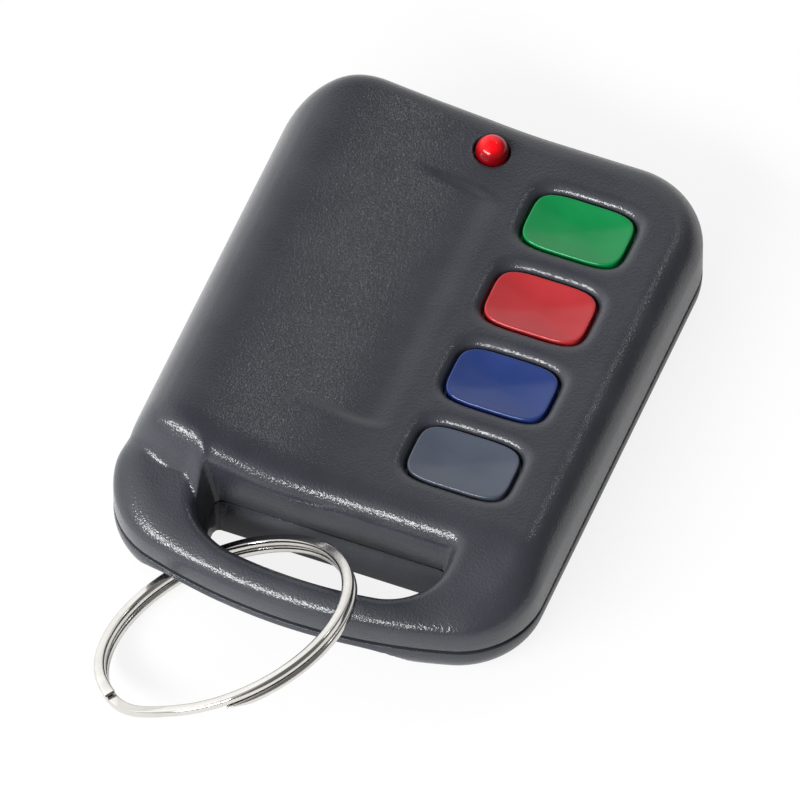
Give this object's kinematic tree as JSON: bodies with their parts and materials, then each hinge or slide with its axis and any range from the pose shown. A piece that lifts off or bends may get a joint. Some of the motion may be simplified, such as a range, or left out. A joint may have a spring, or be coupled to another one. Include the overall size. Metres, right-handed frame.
{
  "type": "alarm key fob",
  "caption": "Black moulded alarm key fob with a battery hump, coloured push keys that travel, a red lamp, and a split ring that swings on the bowed bar at one end.",
  "frame": {"origin": "centre of the flat back of the case, on the surface it lies on", "axes": "+Z out of the key face, +Y towards the lamp end, +X towards the side with the keys; the ring end is at -Y"},
  "size_m": [0.04, 0.0719, 0.013],
  "materials": {
    "case_plastic": "fine grained black moulding",
    "green_plastic": "glossy green",
    "red_plastic": "glossy red",
    "blue_plastic": "glossy blue",
    "grey_plastic": "glossy grey",
    "red_lens": "clear red lamp resin",
    "nickel_plate": "bright nickel plate",
    "tinned_steel": "tinned",
    "board_laminate": "green solder mask",
    "switch_plastic": "black moulding",
    "plunger_plastic": "cream moulding",
    "cell_sleeve": "plain printed sleeve",
    "chip_black": "moulded resin",
    "ceramic": "ceramic",
    "copper": "bare copper wire"
  },
  "bodies": {
    "case": {"top_shell": "case_plastic", "bottom_shell": "case_plastic", "led_lens": "red_lens", "led_leads": "tinned_steel", "circuit_board": "board_laminate", "green_switch": "switch_plastic", "red_switch": "switch_plastic", "blue_switch": "switch_plastic", "grey_switch": "switch_plastic", "switch_covers": "tinned_steel", "battery": "cell_sleeve", "positive_contact": "tinned_steel", "negative_plate": "tinned_steel", "negative_spring": "tinned_steel", "encoder_chip": "chip_black", "saw_resonator": "tinned_steel", "rf_transistor": "chip_black", "trimmer_capacitor": "ceramic", "chip_resistors": "chip_black", "chip_capacitors": "ceramic", "loop_antenna": "copper", "case_screws": "tinned_steel"},
    "green_key": {"green_button": "green_plastic", "green_plunger": "plunger_plastic"},
    "red_key": {"red_button": "red_plastic", "red_plunger": "plunger_plastic"},
    "blue_key": {"blue_button": "blue_plastic", "blue_plunger": "plunger_plastic"},
    "grey_key": {"grey_button": "grey_plastic", "grey_plunger": "plunger_plastic"},
    "ring": {"split_ring": "nickel_plate"}
  },
  "joints": [
    {"name": "green_press", "type": "slide", "parent": "case", "child": "green_key", "axis": [0, 0, -1], "range_m": [0, 0.0004], "stiffness_N_per_m": 3600},
    {"name": "red_press", "type": "slide", "parent": "case", "child": "red_key", "axis": [0, 0, -1], "range_m": [0, 0.0004], "stiffness_N_per_m": 3600},
    {"name": "blue_press", "type": "slide", "parent": "case", "child": "blue_key", "axis": [0, 0, -1], "range_m": [0, 0.0004], "stiffness_N_per_m": 3600},
    {"name": "grey_press", "type": "slide", "parent": "case", "child": "grey_key", "axis": [0, 0, -1], "range_m": [0, 0.0004], "stiffness_N_per_m": 3600},
    {"name": "ring_swing", "type": "hinge", "parent": "case", "child": "ring", "pos_m": [0, -0.02605, 0.0049], "axis": [-1, 0, 0], "range_deg": [0, 95]}
  ]
}
